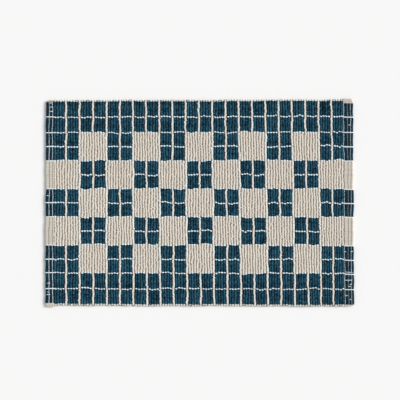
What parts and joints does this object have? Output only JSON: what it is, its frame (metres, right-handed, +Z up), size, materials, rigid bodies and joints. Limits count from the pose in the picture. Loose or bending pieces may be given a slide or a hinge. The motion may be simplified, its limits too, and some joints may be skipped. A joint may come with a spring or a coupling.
{
  "type": "bath mat",
  "caption": "Flat rectangular cotton bath mat in ribbed rep weave, blue and ecru check with blue borders, hemmed at both short ends.",
  "frame": {"origin": "middle of the mat, on the surface that it lies on", "axes": "+X along the long side (the warp), towards the wider hem; +Y along the ribs (the weft), towards row 01; +Z up, out of the face"},
  "size_m": [0.9, 0.605, 0.007],
  "materials": {
    "blue_cotton": "matt cotton warp, deep teal navy",
    "ecru_cotton": "matt undyed cotton warp",
    "white_cotton": "matt bleached cotton ends",
    "filler_cotton": "thick soft roving",
    "hem_cloth": "thin tight end of the same cloth",
    "sewing_thread": "spun sewing thread"
  },
  "bodies": {
    "root": {"blue_warp_01": "blue_cotton", "blue_warp_02": "blue_cotton", "blue_warp_03": "blue_cotton", "blue_warp_04": "blue_cotton", "blue_warp_05": "blue_cotton", "blue_warp_06": "blue_cotton", "blue_warp_07": "blue_cotton", "blue_warp_08": "blue_cotton", "blue_warp_09": "blue_cotton", "blue_warp_10": "blue_cotton", "blue_warp_11": "blue_cotton", "blue_warp_12": "blue_cotton", "blue_warp_13": "blue_cotton", "blue_warp_14": "blue_cotton", "bobbin_thread_left_inner": "sewing_thread", "bobbin_thread_left_outer": "sewing_thread", "bobbin_thread_right_inner": "sewing_thread", "bobbin_thread_right_outer": "sewing_thread", "ecru_warp_01": "ecru_cotton", "ecru_warp_02": "ecru_cotton", "ecru_warp_03": "ecru_cotton", "ecru_warp_04": "ecru_cotton", "ecru_warp_05": "ecru_cotton", "ecru_warp_06": "ecru_cotton", "ecru_warp_07": "ecru_cotton", "ecru_warp_08": "ecru_cotton", "ecru_warp_09": "ecru_cotton", "ecru_warp_10": "ecru_cotton", "ecru_warp_11": "ecru_cotton", "ecru_warp_12": "ecru_cotton", "ecru_warp_13": "ecru_cotton", "ecru_warp_14": "ecru_cotton", "filler_weft": "filler_cotton", "hem_left": "hem_cloth", "hem_right": "hem_cloth", "needle_thread_left_inner": "sewing_thread", "needle_thread_left_outer": "sewing_thread", "needle_thread_right_inner": "sewing_thread", "needle_thread_right_outer": "sewing_thread", "selvedge_back": "ecru_cotton", "selvedge_front": "ecru_cotton", "white_ends_01": "white_cotton", "white_ends_02": "white_cotton", "white_ends_03": "white_cotton", "white_ends_04": "white_cotton", "white_ends_05": "white_cotton", "white_ends_06": "white_cotton", "white_ends_07": "white_cotton", "white_ends_08": "white_cotton", "white_ends_09": "white_cotton", "white_ends_10": "white_cotton", "white_ends_11": "white_cotton", "white_ends_12": "white_cotton", "white_ends_13": "white_cotton"}
  },
  "joints": []
}
